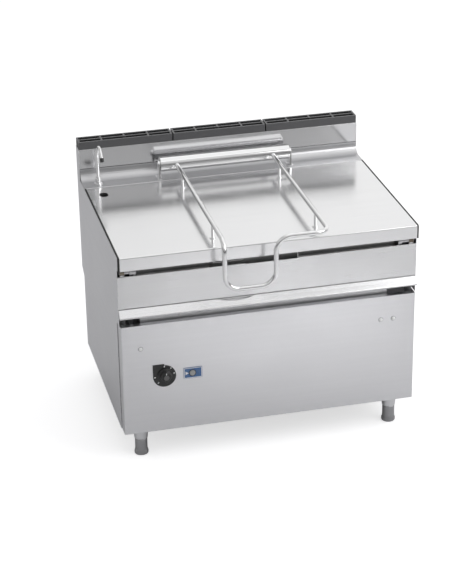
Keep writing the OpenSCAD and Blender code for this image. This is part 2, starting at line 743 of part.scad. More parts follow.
gas_side_in = 250;
gas_x = x_out - gas_side_in;
gas_z = plinth_h + frame_rail + gas_pipe_d / 2 + 20;
gas_out = 40;
water_z = plinth_h + 150;
gland_side_in = 120;
gland_x = x_out - gland_side_in;
module gas_pipe() {
    r = gas_pipe_d / 2;
    y = valve_y0 + 24;
    color("darkkhaki") {
        bent_tube([[gas_x, step_y + gas_out, gas_z], [gas_x, y, gas_z], [knob_x, y, gas_z],
            [knob_x, y, knob_z - 58]], [0, 1.5 * gas_pipe_d, 1.5 * gas_pipe_d, 0], r);
        rod_y(step_y, step_y + 6, gas_x, gas_z, r + 7);
    }
}

// Motor, gearbox and pinion
gearbox_r = 34;
gearbox_drop = 60;
motor_r = 29;
motor_len = 170;
motor_cap = 6;
module tilt_gearmotor() {
    motor_x = -(x_in - motor_r - 2);
    motor_z = pinion_z - gearbox_drop;
    color("dimgray") {
        difference() {
            union() {
                along_x(-x_in, -gearbox_x) {
                    translate([pinion_y, pinion_z]) circle(gearbox_r);
                    translate([pinion_y - gearbox_r, motor_z]) square([2 * gearbox_r, gearbox_drop]);
                }
                rod_x(-gearbox_x, -gearbox_x + 1, pinion_y, pinion_z, 20);
            }
            rod_x(-x_in + 12, -gearbox_x + 3, pinion_y, pinion_z, pinion_shaft_r + 0.05);
        }
        rod_z(motor_z - motor_len, motor_z, motor_x, pinion_y, motor_r);
        rod_z(motor_z - motor_len - motor_cap, motor_z - motor_len, motor_x, pinion_y, motor_r - 3);
    }
}
module drive_pinion() {
    m = gear_module;
    n = pinion_teeth;
    phase = 180 + mesh_angle;
    color("silver") {
        translate([-pinion_x0 - pinion_w, pinion_y, pinion_z]) rotate([90, 0, 90]) rotate([0, 0, phase])
            linear_extrude(pinion_w) polygon([for (k = [0:n - 1]) each tooth(m, n, k)]);
        rod_x(-x_in + 13, -pinion_x0 - pinion_w, pinion_y, pinion_z, pinion_shaft_r);
    }
}
module tilt_sector() {
    m = gear_module;
    n = sector_teeth;
    pitch = 360 / n;
    k0 = ceil((sector_from - mesh_angle) / pitch) - 0.5;
    k1 = floor((sector_to - mesh_angle) / pitch) + 0.5;
    root = sector_r - 1.2 * m;
    a0 = mesh_angle + (k0 - 0.5) * pitch;
    a1 = mesh_angle + (k1 + 0.5) * pitch;
    inner = root - 26;
    arm = pin_r + 4;
    color("gray") difference() {
        translate([-sector_x - sector_t, pivot_y, pivot_z]) rotate([90, 0, 90]) linear_extrude(sector_t) {
            rotate(mesh_angle) polygon([for (k = [k0:k1]) each tooth(m, n, k)]);
            polygon(concat(arc([0, 0], root + 1, a0, a1, 24), reversed(arc([0, 0], inner, a0, a1, 24))));
            for (a = [a0 + 2, (a0 + a1) / 2, a1 - 6]) rotate(a) translate([0, -9]) square([inner + 6, 18]);
            circle(arm);
        }
        rod_x(-sector_x - sector_t - 1, -sector_x + 1, pivot_y, pivot_z, pin_r);
    }
}

// Tap
module tap_base() {
    r = tap_body_d / 2;
    color("silver") difference() {
        union() {
            rod_z(worktop_h, worktop_h + 4, tap_x, tap_y, r + 2);
            rod_z(worktop_h + 4, worktop_h + 22, tap_x, tap_y, r - 3);
            rod_z(worktop_h + 22, worktop_h + 30, tap_x, tap_y, r - 5);
            rod_z(worktop_h - 24, worktop_h, tap_x, tap_y, 8);
            translate([tap_x, tap_y, worktop_h - sheet - 6]) cylinder(h = 6, r = 15, $fn = 6);
        }
        rod_z(worktop_h + 12, worktop_h + 31, tap_x, tap_y, tap_pipe_r);
    }
}
module tap_spout() {
    color("silver") {
        rod_z(worktop_h + 12, arch_z, tap_x, tap_y, tap_pipe_r);
        translate([tap_x, tap_y - arch_r, arch_z]) rotate([90, 0, 90]) rotate_extrude(angle = arch_sweep)
            translate([arch_r, 0]) circle(tap_pipe_r);
    }
}
module tap_aerator() {
    end = [tap_x, tap_y - arch_r + arch_r * cos(arch_sweep), arch_z + arch_r * sin(arch_sweep)];
    along = [0, -sin(arch_sweep), cos(arch_sweep)];
    color("black") difference() {
        rod_between(end, end + aerator_len * along, tap_pipe_r + 1.5);
        rod_between(end + 6 * along, end + (aerator_len + 1) * along, tap_pipe_r - 1.5);
    }
}
module water_pipe() {
    color("darkkhaki") {
        bent_tube([[tap_x, step_y + gas_out, water_z], [tap_x, tap_y, water_z], [tap_x, tap_y, worktop_h - 24]],
            [0, 30, 0], 8);
        rod_y(step_y, step_y + 5, tap_x, water_z, 16);
    }
}

// Controls
module dial_bezel() {
    y0 = panel_y - bezel_t;
    color("black") difference() {
        along_y(y0, panel_y) {
            translate([knob_x - 2, knob_z - 6]) circle(bezel_r, $fn = 64);
            translate([knob_x - 2 - bezel_r, knob_z - 6]) square([bezel_r, bezel_r + 6]);
        }
        rod_y(y0 - 1, panel_y + 1, knob_x, knob_z, spindle_d / 2 + 1);
    }
}
module control_knob() {
    y1 = panel_y - bezel_t - 0.5;
    r = knob_d / 2;
    color("black") {
        translate([knob_x, y1, knob_z]) rotate([90, 0, 0]) rotate_extrude()
            polygon([[0, 0], [r, 0], [r, 5], [r - 2, 7], [r - 5, 8], [r - 8, 22], [r - 10, 24], [0, 24]]);
        translate([knob_x, y1, knob_z]) rotate([90, 0, 0]) linear_extrude(29) round_rect(-6, -r + 6, 6, r - 6, 5);
        rod_y(y1, valve_y0 + 28, knob_x, knob_z, spindle_d / 2);
    }
}
module switch_plate() {
    y0 = panel_y - plate_t;
    color("steelblue") difference() {
        union() {
            along_y(y0, panel_y) translate([plate_x, plate_z])
                round_rect(-plate_w / 2, -plate_h / 2, plate_w / 2, plate_h / 2, 3);
            box([plate_x - 25, panel_y, plate_z - 13], [plate_x + 25, panel_y + 34, plate_z + 13]);
        }
        rod_y(y0 - 1, panel_y + 12, button_x, plate_z, button_d / 2 + 0.4);
    }
}
module push_button() {
    color("lightgray") translate([button_x, panel_y - plate_t - 4, plate_z]) rotate([-90, 0, 0]) rotate_extrude()
        polygon([[0, 0], [button_d / 2 - 1.5, 0], [button_d / 2, 1.5], [button_d / 2, 14.5], [0, 14.5]]);
}
module indicator_lamps() {
    r = lamp_d / 2;
    color("white") for (x = lamp_xs) translate([x, panel_y, lamp_z]) rotate([90, 0, 0]) {
        rotate_extrude() polygon([[0, 0], [r, 0], [r, 2], [r - 2, 5], [r - 5, 7], [0, 7.5]]);
        translate([0, 0, -22]) cylinder(h = 22, r = r - 2.3);
    }
}
module cable_gland() {
    color("dimgray") difference() {
        union() {
            rod_y(step_y, step_y + 10, gland_x, gas_z, 15);
            rod_y(step_y - 14, step_y, gland_x, gas_z, 11.5);
            rod_y(step_y + 10, step_y + 22, gland_x, gas_z, 12);
        }
        rod_y(step_y - 15, step_y + 23, gland_x, gas_z, 7);
    }
}
module panel_screws() {
    color("silver") for (x = screw_xs) {
        rod_y(strip_y - 2.4, strip_y, x, screw_z, screw_r + 1.6);
        rod_y(strip_y, strip_y + 5, x, screw_z, screw_r);
    }
}

// Lid
module lid_shell() {
    pts = [[y_front, lid_z0], [y_front, worktop_h], [lid_rear, worktop_h], [lid_rear, worktop_h - lid_rear_skirt]];
    color("gainsboro") difference() {
        union() {
            sheet_along_x(-lid_x, lid_x, pts, bend_r, -sheet);
            mirrored_x() intersection() {
                box([lid_x - sheet, y_front, lid_z0], [lid_x, lid_rear, worktop_h]);
                along_x(0, x_out) polygon([[y_front + 0.5, lid_z0], [y_front + 40, worktop_h - lid_side_skirt],
                    [lid_rear - 30, worktop_h - lid_side_skirt], [lid_rear - 0.5, worktop_h - lid_rear_skirt],
                    [lid_rear - 0.5, worktop_h - 1.4], [y_front + bend_r, worktop_h - 0.4], [y_front + 0.5, worktop_h - bend_r]]);
            }
        }
        tap_slot();
    }
}
module tap_slot() {
    half = (tap_slot_len - tap_slot_w) / 2;
    for (s = [-half, half]) rod_z(worktop_h - 10, worktop_h + 2, tap_x, slot_y + s, tap_slot_w / 2);
    box([tap_x - tap_slot_w / 2, slot_y - half, worktop_h - 10], [tap_x + tap_slot_w / 2, slot_y + half, worktop_h + 2]);
}
stiffener_from_front = [130, 360];
module lid_stiffeners() {
    z1 = worktop_h - sheet;
    z0 = z1 - stiffener_h;
    color("silver") for (d = stiffener_from_front) let (y = y_front + d)
        along_x(-lid_x + 60, lid_x - 60) polygon(ribbon([[y - 35, z1 - sheet], [y - 22, z1 - sheet], [y - 16, z0],
            [y + 16, z0], [y + 22, z1 - sheet], [y + 35, z1 - sheet]], sheet));
}
module lid_edge_right() {
    x0 = lid_x;
    x1 = lid_x + seal_t;
    color([0.05, 0.05, 0.05]) along_x(x0, x1) polygon([[y_front, lid_z0], [y_front + 10, lid_z0],
        [y_front + 24, worktop_h - 18], [lid_rear - 4, worktop_h - 18], [lid_rear, worktop_h - 12],
        [lid_rear, worktop_h + 0.6], [y_front + bend_r, worktop_h + 0.6], [y_front, worktop_h - bend_r]]);
}
module lid_edge_left() {
    mirror([1, 0, 0]) lid_edge_right();
}
loop_y = y_front - handle_reach;
module lid_handle() {
    z = hinge_z;
    xa = handle_arm_x;
    r = handle_d / 2;
    seat_y = hinge_y - hinge_r - 20;
    color("silver") {
        bent_tube([[-xa, seat_y, z], [-xa, loop_y, z], [-xa, loop_y, z - handle_drop],
            [-5, loop_y, z - handle_drop], [-5, loop_y, z], [xa, loop_y, z], [xa, seat_y, z]],
            [0, 50, 60, 60, 60, 50, 0], r);
        for (x = [-xa, xa]) difference() {
            rod_y(seat_y, hinge_y - hinge_r / 2, x, z, r);
            rod_x(x - r - 1, x + r + 1, hinge_y, z, hinge_r);
        }
    }
}
post_y = [y_front + 100, hinge_y - 130];
module handle_posts() {
    r = handle_d / 2;
    color("silver") for (x = [-handle_arm_x, handle_arm_x], y = post_y) difference() {
        union() {
            rod_z(worktop_h, hinge_z, x, y, post_d / 2);
            rod_z(worktop_h, worktop_h + 4, x, y, post_d);
        }
        rod_y(y - 20, y + 20, x, hinge_z, r);
    }
}
module spring_housing() {
    cap = 6;
    bore = hinge_shaft_d / 2 + shaft_fit;
    color("silver") difference() {
        rod_x(hinge_x0, hinge_x1, hinge_y, hinge_z, hinge_r);
        rod_x(hinge_x0 + cap, hinge_x1 - cap, hinge_y, hinge_z, hinge_r - hinge_tube_wall);
        rod_x(hinge_x0 - 1, hinge_x1 + 1, hinge_y, hinge_z, bore);
    }
}
// Helical spring as a swept polygon
module coil_spring(x0, x1, turns) {
    coil_r = (hinge_r - hinge_tube_wall + hinge_shaft_d / 2) / 2;
    wire = spring_wire_d / 2;
    rings = turns * 10;
    ring_pts = 5;
    pts = [for (i = [0:rings]) let (a = i * 36, x = x0 + wire + (x1 - x0 - 2 * wire) * i / rings)
        for (j = [0:ring_pts - 1]) let (r = coil_r + wire * cos(j * 72)) [x + wire * sin(j * 72), r * cos(a), r * sin(a)]];
    sides = [for (i = [0:rings - 1], j = [0:ring_pts - 1]) let (k = (j + 1) % ring_pts)
        [i * 5 + j, i * 5 + k, (i + 1) * 5 + k, (i + 1) * 5 + j]];
    translate([0, hinge_y, hinge_z])
        polyhedron(pts, concat(sides, [[4, 3, 2, 1, 0]], [[for (j = [0:4]) rings * 5 + j]]));
}
module balance_springs() {
    color("dimgray") {
        coil_spring(hinge_x0 + 6.3, -10, 12);
        coil_spring(10, hinge_x1 - 6.3, 12);
        difference() {
            rod_x(-10, 10, hinge_y, hinge_z, hinge_r - hinge_tube_wall);
            rod_x(-11, 11, hinge_y, hinge_z, hinge_shaft_d / 2 + 0.3);
        }
    }
}

// Pan
module rim_frustum(x0, x1, y_start, y0, y1, z0, z1) {
    intersection() {
        along_y(y_start, y1) polygon([[-x0, z0], [x0, z0], [x1, z1], [-x1, z1]]);
        along_x(-x1, x1) polygon([[y_start, z0], [y0, z0], [y1, z1], [y_start, z1]]);
    }
}
module spout_solid(inset, top) {
    root = spout_w / 2 - inset;
    lip = spout_lip_w / 2 - inset;
    y0 = pan_y0 - spout_reach - (inset > 0 ? 1 : 0);
    y1 = pan_y0 + (inset > 0 ? pan_wall + 2 : 1);
    intersection() {
        translate([spout_x, 0, rim_z - spout_root_h]) linear_extrude(2 * spout_root_h)
            polygon([[-lip, y0], [lip, y0], [root, y1], [-root, y1]]);
        along_x(spout_x - root, spout_x + root)
            polygon([[y0, rim_z - spout_lip_h + inset], [y1, rim_z - spout_root_h + inset], [y1, top], [y0, top]]);
    }
}
// The front, rear and side walls are sheets of their own, set against each other at the weld seams
module weld_seams() {
    for (y = [pan_y0 + pan_corner_r, pan_y1 - pan_corner_r - seam]) box([-x_out, y, 0], [x_out, y + seam, worktop_h]);
}
module pan_vessel() {
    w = pan_wall;
    r = pan_corner_r;
    z1 = rim_z - rim_h;
    color("silver") difference() {
        translate([0, 0, floor_z]) linear_extrude(z1 - floor_z) round_rect(-pan_x, pan_y0, pan_x, pan_y1, r);
        translate([0, 0, floor_z - 1]) linear_extrude(rim_z)
            round_rect(-pan_x + w, pan_y0 + w, pan_x - w, pan_y1 - w, r - w);
        weld_seams();
    }
}
module pan_rim() {
    w = pan_wall;
    r = pan_corner_r;
    z1 = rim_z - rim_h;
    color("silver") difference() {
        union() {
            translate([0, 0, z1]) linear_extrude(rim_h) round_rect(-pan_x, pan_y0, pan_x, pan_y1, r);
            rim_frustum(pan_x, rim_x, rim_front, pan_y1, rim_y1, z1, rim_z);
            difference() {
                spout_solid(0, rim_z);
                box([-x_out, pan_y0 - seam, 0], [x_out, rim_front, worktop_h]);
            }
        }
        weld_seams();
        translate([0, 0, z1 - 1]) linear_extrude(rim_z) round_rect(-pan_x + w, pan_y0 + w, pan_x - w, pan_y1 - w, r - w);
        rim_frustum(pan_x - w, rim_x - w, rim_front + w, pan_y1 - w, rim_y1 - w, z1 + 3, rim_z + 0.2);
        spout_solid(w, rim_z + 1);
    }
}
module pan_base_plate() {
    color("silver") union() {
        translate([0, 0, pan_z0]) linear_extrude(pan_floor_t) round_rect(-pan_x, pan_y0, pan_x, pan_y1, pan_corner_r);
        box([-chamber_x + 2, pan_y0 + 15, pan_z0 - base_plate_t], [chamber_x - 2, pan_y1 - 27, pan_z0]);
    }
}
module pan_jacket() {
    t = jacket_t;
    z0 = pan_z0 + 8;
    y0 = pan_y0 - 8;
    y1 = pan_y1 + t;
    color("lightgray") difference() {
        intersection() {
            translate([0, 0, z0]) linear_extrude(jacket_top - z0) round_rect(-jacket_x, y0, jacket_x, y1, pan_corner_r);
            along_x(-x_out, x_out) polygon([[y0, z0], [y1 - 30, z0], [y1, z0 + 55], [y1, jacket_top], [y0, jacket_top]]);
        }
        translate([0, 0, z0 - 1]) linear_extrude(pan_in_h) round_rect(-pan_x, pan_y0, pan_x, pan_y1, pan_corner_r);
    }
}
module trunnions() {
    lug_z0 = jacket_top + 1;
    lug_y1 = pan_y0 + 90;
    color("gray") mirrored_x() {
        along_x(pan_x, pan_x + lug_t) {
            translate([pivot_y, pivot_z]) circle(14);
            polygon([[pivot_y - 8.5, pivot_z - 11], [pivot_y - 8.5, lug_z0 + 6], [pivot_y + 8, lug_z0], [lug_y1, lug_z0],
                [lug_y1, rim_z - rim_h - 5], [rim_front - 1, rim_z - rim_h - 5], [rim_front - 1, pivot_z + 6], [pivot_y, pivot_z + 14]]);
        }
        rod_x(pan_x + lug_t, sector_x, pivot_y, pivot_z, 14);
        rod_x(sector_x, pin_end, pivot_y, pivot_z, pin_r);
    }
}

base_frame();
corner_posts();
side_panel_left();
side_panel_right();
front_panel();
ledge();
pouring_recess();
recess_strip();
apron();
rear_deck();
backsplash();
rear_panel_upper();
rear_panel_lower();
rear_gutter();
support_beams();
flue_duct();
flue_grate_left();
flue_grate_middle();
flue_grate_right();
leg_collars();
foot_front_left();
foot_front_right();
foot_rear_left();
foot_rear_right();
hinge_brackets();
hinge_shaft();
trunnion_brackets();
trunnion_bushes();
combustion_chamber();
burners();
gas_manifold();
gas_valve();
gas_pipe();
tilt_gearmotor();
tap_base();
tap_spout();
tap_aerator();
water_pipe();
dial_bezel();
switch_plate();
indicator_lamps();
cable_gland();
panel_screws();
lid_shell();
lid_stiffeners();
lid_edge_left();
lid_edge_right();
lid_handle();
handle_posts();
spring_housing();
balance_springs();
pan_vessel();
pan_rim();
pan_base_plate();
pan_jacket();
trunnions();
tilt_sector();
drive_pinion();
control_knob();
push_button();
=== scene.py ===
# %% [markdown]
# A tilting bratt pan: a wide shallow pan under a sprung lid, standing in a stainless steel cabinet.
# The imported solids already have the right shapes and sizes, so this lesson keeps every one of them
# and gives it a worked finish. It then adds what is too fine for the solids: the dial's printed
# marks, the knob's cap and pointer, the print on the switch plate, and the thin rings round the
# button and the lamps. Loading the frame comes first, because every later piece is placed by it.
# %% Load the frame
import math

import bpy
import numpy as np
from mathutils import Matrix, Vector


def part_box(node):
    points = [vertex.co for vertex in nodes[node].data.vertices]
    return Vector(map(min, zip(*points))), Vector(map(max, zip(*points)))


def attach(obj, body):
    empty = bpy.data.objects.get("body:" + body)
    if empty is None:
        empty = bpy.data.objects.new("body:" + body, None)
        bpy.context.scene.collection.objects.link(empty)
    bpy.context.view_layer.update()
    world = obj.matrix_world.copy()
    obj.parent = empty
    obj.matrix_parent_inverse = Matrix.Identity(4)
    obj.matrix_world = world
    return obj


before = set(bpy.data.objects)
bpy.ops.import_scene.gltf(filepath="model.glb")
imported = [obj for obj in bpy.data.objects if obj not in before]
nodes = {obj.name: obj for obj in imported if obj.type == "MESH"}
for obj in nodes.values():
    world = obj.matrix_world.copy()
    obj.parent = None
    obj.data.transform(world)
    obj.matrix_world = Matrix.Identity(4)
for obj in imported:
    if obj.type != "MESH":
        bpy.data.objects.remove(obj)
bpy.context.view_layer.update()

# %% [markdown]
# The camera looks from the photo's side: a little to the left and well above the worktop, far away
# with a long lens, so that the verticals stay nearly parallel. Its place is given as two angles and
# a distance from a point inside the cabinet, which is easier to reason about than raw coordinates.
# The values were found by matching the cabinet's corners to the photo's.
# %% Camera
CAMERA_TURN = math.radians(-13.27)
CAMERA_RISE = math.radians(25.25)
CAMERA_ROLL = math.radians(-1.00)
CAMERA_DISTANCE = 7.685
CAMERA_AIM = Vector((-0.0869, 0.0, 0.5178))
LENS_MM = 115.5
SENSOR_MM = 36
FARTHEST_SEEN = 100


def aimed_axes(turn, rise, roll):
    """Right, up and backward axes of a camera that is turned about Z, raised, then rolled."""
    level = math.cos(rise)
    back = Vector((math.sin(turn) * level, -math.cos(turn) * level, math.sin(rise)))
    right = Vector((0, 0, 1)).cross(back).normalized()
    up = back.cross(right)
    rolled_right = math.cos(roll) * right + math.sin(roll) * up
    return rolled_right, back.cross(rolled_right), back


camera_data = bpy.data.cameras.new("camera")
camera_data.lens = LENS_MM
camera_data.sensor_width = SENSOR_MM
camera_data.clip_end = FARTHEST_SEEN
camera = bpy.data.objects.new("camera", camera_data)
bpy.context.scene.collection.objects.link(camera)
axes = aimed_axes(CAMERA_TURN, CAMERA_RISE, CAMERA_ROLL)
camera_place = Matrix.Translation(CAMERA_AIM + axes[2] * CAMERA_DISTANCE)
camera.matrix_world = camera_place @ Matrix(axes).transposed().to_4x4()
bpy.context.scene.camera = camera
bpy.context.scene.view_settings.view_transform = "Standard"
print("camera at", [round(v, 3) for v in camera.matrix_world.translation])


# %% [markdown]
# Node trees are easier to write with a few small helpers. One adds a node and sets its plain values,
# one joins sockets, and two do the sums that nearly every tree needs. What follows them is a list
# of nodes and links, read from left to right.
# %% Helpers for node trees
def add(tree, kind, values=(), **settings):
    """A new node of that kind, with its settings, then values on its named or numbered inputs."""
    node = tree.nodes.new(kind)
    for key, value in settings.items():
        setattr(node, key, value)
    for key, value in dict(values).items():
        node.inputs[key].default_value = value
    return node


def link(tree, *pairs):
    """Each pair's first socket feeds its second."""
    for source, target in pairs:
        tree.links.new(source, target)


def ramp(tree, source, low, high, to_low, to_high):
    """The source carried from the range low..high to to_low..to_high, and held at its ends."""
    node = add(tree, "ShaderNodeMapRange", {1: low, 2: high, 3: to_low, 4: to_high})
    link(tree, (source, node.inputs[0]))
    return node.outputs[0]


def math_node(tree, operation, a, b=None, clamp=False):
    """That operation on a and b, each a number or a socket."""
    node = add(tree, "ShaderNodeMath", operation=operation, use_clamp=clamp)
    for socket, value in zip(node.inputs, (a, b)):
        if isinstance(value, bpy.types.NodeSocket):
            link(tree, (value, socket))
        elif value is not None:
            socket.default_value = value
    return node.outputs[0]


def seen_directly(tree):
    """1 for the camera's own rays and for those that pass through clear plastic, 0 for all others."""
    rays = add(tree, "ShaderNodeLightPath").outputs
    return math_node(tree, "MAXIMUM", rays["Is Camera Ray"], rays["Is Transmission Ray"])


print("helpers ready")

# %% [markdown]
# Polished and satin steel have hardly any colour of their own: they show the room. So the room is
# built with care. Its floor is a real pale plane that catches the cabinet's soft shadow and that the
# steel mirrors. Light Path adds a lift that only the camera sees, so the floor reads as nearly white
# in the picture and yet throws no more light on the steel.
# %% Floor
FLOOR_HALF = 30.0
FLOOR_PAINT = (0.71, 0.71, 0.72, 1)
FLOOR_LIFT = 0.62
WHITE = (1, 1, 1, 1)


def floor_grid(half, count=2):
    """A flat square of count x count corners: X and Y each run from -half to half, at height 0."""
    run = np.linspace(-half, half, count)
    u, v = np.meshgrid(run, run, indexing="ij")
    return np.stack([u, v, np.zeros_like(u)], -1)


def grid_mesh(name, points, closed=False):
    """A mesh on a grid of points: each cell is a quad. A closed one joins its last row and column to
    the first. Its faces look along rows x columns: the cross product of the two directions."""
    rows, cols = points.shape[:2]
    last = 0 if closed else 1
    i, j = np.meshgrid(np.arange(rows - last), np.arange(cols - last), indexing="ij")
    i2, j2 = (i + 1) % rows, (j + 1) % cols
    quads = np.stack([i * cols + j, i2 * cols + j, i2 * cols + j2, i * cols + j2], -1).reshape(-1, 4)
    mesh = bpy.data.meshes.new(name)
    mesh.from_pydata(points.reshape(-1, 3).tolist(), [], quads.tolist())
    mesh.update()
    return mesh


def new_object(name, mesh):
    """An object at the origin with that mesh, in the scene."""
    obj = bpy.data.objects.new(name, mesh)
    bpy.context.scene.collection.objects.link(obj)
    return obj


def floor_material():
    """Matt paint plus a glow that only the camera sees."""
    material = bpy.data.materials.new("studio_floor")
    material.use_nodes = True
    tree = material.node_tree
    tree.nodes.clear()
    paint = add(tree, "ShaderNodeBsdfDiffuse", {"Color": FLOOR_PAINT})
    glow = add(tree, "ShaderNodeEmission", {"Color": WHITE})
    lift = math_node(tree, "MULTIPLY", seen_directly(tree), FLOOR_LIFT)
    both = add(tree, "ShaderNodeAddShader")
    out = add(tree, "ShaderNodeOutputMaterial")
    link(tree, (lift, glow.inputs["Strength"]), (paint.outputs[0], both.inputs[0]),
         (glow.outputs[0], both.inputs[1]), (both.outputs[0], out.inputs[0]))
    return material


floor = new_object("studio_floor", grid_mesh("studio_floor", floor_grid(FLOOR_HALF)))
floor.data.materials.append(floor_material())
print("floor", 2 * FLOOR_HALF, "m square")

# %% [markdown]
# The world stands for the studio's walls and ceiling. Behind the cabinet it is bright at any height,
# though less so on the left. In front it is dark near the horizon and gets brighter upwards, as with
# a dark far wall under a lit ceiling, and the steel shows that gradient. It dims again straight
# overhead, where the lid would burn out in a view from above. The camera itself sees plain white.
# Three soft lamps then shape the object and its shadow.
# %% World and lamps
# Each: one component of the view direction, from..to, and the brightness that it gives, from..to.
BEHIND = (-0.30, 0.45, 0.0, 1.0)
UPWARDS_IN_FRONT = (0.05, 0.80, 0.14, 0.92)
LEFT_TO_RIGHT = (-0.35, 0.25, 0.55, 1.0)
STRAIGHT_OVERHEAD = (0.60, 0.92, 1.0, 0.42)
BACK_WALL = 0.97
# Each lamp's place, its aim, its two sides in metres, its watts and its spread in degrees.
LAMPS = {
    "key_lamp": ((2.7, -2.2, 2.9), (0.3, -0.6, 0.2), (3.0, 2.6), 54, 180),
    "top_lamp": ((0.3, 0.2, 4.6), (0, 0, 0.5), (4.8, 4.0), 36, 180),
    "floor_pool": ((0.35, -1.7, 2.4), (0.35, -1.7, 0.0), (0.8, 0.6), 2.6, 44),
}


def build_world():
    """Brightness = (front, by height, mixed into back, by side) x overhead; white for the camera."""
    world = bpy.data.worlds.new("studio")
    bpy.context.scene.world = world
    world.use_nodes = True
    tree = world.node_tree
    tree.nodes.clear()
    coords = add(tree, "ShaderNodeTexCoord")
    split = add(tree, "ShaderNodeSeparateXYZ")
    link(tree, (coords.outputs["Generated"], split.inputs[0]))
    side, depth, height = split.outputs
    front_level = ramp(tree, height, *UPWARDS_IN_FRONT)
    back_level = math_node(tree, "MULTIPLY", ramp(tree, side, *LEFT_TO_RIGHT), BACK_WALL)
    both = add(tree, "ShaderNodeMix")
    link(tree, (ramp(tree, depth, *BEHIND), both.inputs["Factor"]),
         (front_level, both.inputs["A"]), (back_level, both.inputs["B"]))
    overhead = ramp(tree, height, *STRAIGHT_OVERHEAD)
    level = math_node(tree, "MULTIPLY", both.outputs["Result"], overhead)
    shown = add(tree, "ShaderNodeMix", {"B": 1.0})
    link(tree, (seen_directly(tree), shown.inputs["Factor"]), (level, shown.inputs["A"]))
    back = add(tree, "ShaderNodeBackground", {"Color": WHITE})
    out = add(tree, "ShaderNodeOutputWorld")
    link(tree, (shown.outputs["Result"], back.inputs["Strength"]), (back.outputs[0], out.inputs[0]))


def soft_lamp(name, place, aim, size, watts, spread):
    """A rectangular area lamp at that place that shines towards the aim."""
    lamp = bpy.data.lights.new(name, "AREA")
    lamp.shape = "RECTANGLE"
    lamp.size, lamp.size_y = size
    lamp.energy = watts
    lamp.spread = math.radians(spread)
    obj = bpy.data.objects.new(name, lamp)
    bpy.context.scene.collection.objects.link(obj)
    obj.location = place
    obj.rotation_euler = (Vector(aim) - Vector(place)).to_track_quat("-Z", "Y").to_euler()


build_world()
for lamp_name, values in LAMPS.items():
    soft_lamp(lamp_name, *values)
print("world and", len(bpy.data.lights), "lamps")


# %% [markdown]
# Several finishes share the same physical effects, so each effect is a node group, built once. Sheet
# steel is satin ground by a belt, which leaves fine parallel scratches. The group reads a position
# already stretched along the scratches, and gives back a fine grain and a broad slow streak.
# %% Shared effect: brushed grain
def new_group(name, inputs, outputs):
    """An empty node group: an input given by a number is a float socket, by a word a vector one."""
    group = bpy.data.node_groups.new(name, "ShaderNodeTree")
    for key, value in inputs.items():
        kind = "NodeSocketVector" if value == "vector" else "NodeSocketFloat"
        socket = group.interface.new_socket(key, in_out="INPUT", socket_type=kind)
        if value != "vector":
            socket.default_value = value
    for key, kind in outputs.items():
        group.interface.new_socket(key, in_out="OUTPUT", socket_type=kind)
    given = group.nodes.new("NodeGroupInput").outputs
    return group, given, group.nodes.new("NodeGroupOutput").inputs


def noise(tree, vector, scale, detail=2.0, rough=0.5):
    """Plain noise at that position, mostly between 0.3 and 0.7."""
    node = add(tree, "ShaderNodeTexNoise", {"Scale": scale, "Detail": detail, "Roughness": rough})
    link(tree, (vector, node.inputs["Vector"]))
    return node.outputs["Fac"]


def build_brushed_grain():
    """Grain = 0.6 x fine noise + 0.4 x noise 8 times coarser; Streak = noise 22 times coarser."""
    tree, given, made = new_group("brushed_grain", {"Vector": "vector"},
                                  {"Grain": "NodeSocketFloat", "Streak": "NodeSocketFloat"})
    fine = noise(tree, given["Vector"], 1.0, 3.0, 0.7)
    coarse = noise(tree, given["Vector"], 0.13, 2.0, 0.6)
    grain = math_node(tree, "ADD", math_node(tree, "MULTIPLY", fine, 0.6),
                      math_node(tree, "MULTIPLY", coarse, 0.4))
    link(tree, (grain, made["Grain"]), (noise(tree, given["Vector"], 0.045), made["Streak"]))
    return tree


BRUSHED = build_brushed_grain()
print("group", BRUSHED.name, "nodes", len(BRUSHED.nodes))

# %% [markdown]
# Hands, cloths and splashes change the gloss of steel in soft patches, never its shape. This group
# makes two cloudy masks: wide wiping marks, and small drops that dried to a duller ring.
# %% Shared effect: handling marks
DROP_RADIUS = 0.22
RING_WIDTH = 0.05


def build_handling():
    """Wipes = the upper part of a distorted noise; Drops = rings round scattered cell centres, where
    a slow noise is high, so that they come in groups."""
    tree, given, made = new_group("handling_marks",
                                  {"Vector": "vector", "Wipe Scale": 3.0, "Drop Scale": 60.0},
                                  {"Wipes": "NodeSocketFloat", "Drops": "NodeSocketFloat"})
    wipes = add(tree, "ShaderNodeTexNoise", {"Detail": 4.0, "Roughness": 0.55, "Distortion": 0.8})
    drops = add(tree, "ShaderNodeTexVoronoi", {"Randomness": 1.0})
    for texture, scale in ((wipes, "Wipe Scale"), (drops, "Drop Scale")):
        link(tree, (given["Vector"], texture.inputs["Vector"]), (given[scale], texture.inputs["Scale"]))
    off_ring = math_node(tree, "ABSOLUTE",
                         math_node(tree, "SUBTRACT", drops.outputs["Distance"], DROP_RADIUS))
    rings = ramp(tree, off_ring, 0.0, RING_WIDTH, 1.0, 0.0)
    grouped = ramp(tree, noise(tree, given["Vector"], 4.0), 0.56, 0.68, 0.0, 1.0)
    link(tree, (ramp(tree, wipes.outputs["Fac"], 0.42, 0.66, 0.0, 1.0), made["Wipes"]),
         (math_node(tree, "MULTIPLY", rings, grouped), made["Drops"]))
    return tree


HANDLING = build_handling()
print("group", HANDLING.name, "nodes", len(HANDLING.nodes))

# %% [markdown]
# Folded and cut edges are rubbed brighter than the flats beside them. A Bevel node looks a short way
# around each point and bends the normal near an edge. Comparing that normal with the true one gives a
# mask that is white on edges only, on any mesh, and the bent normal itself rounds the highlight.
# %% Shared effect: rubbed edges
MM = 0.001
EDGE_REACH = 1.6 * MM
EDGE_SAMPLES = 4


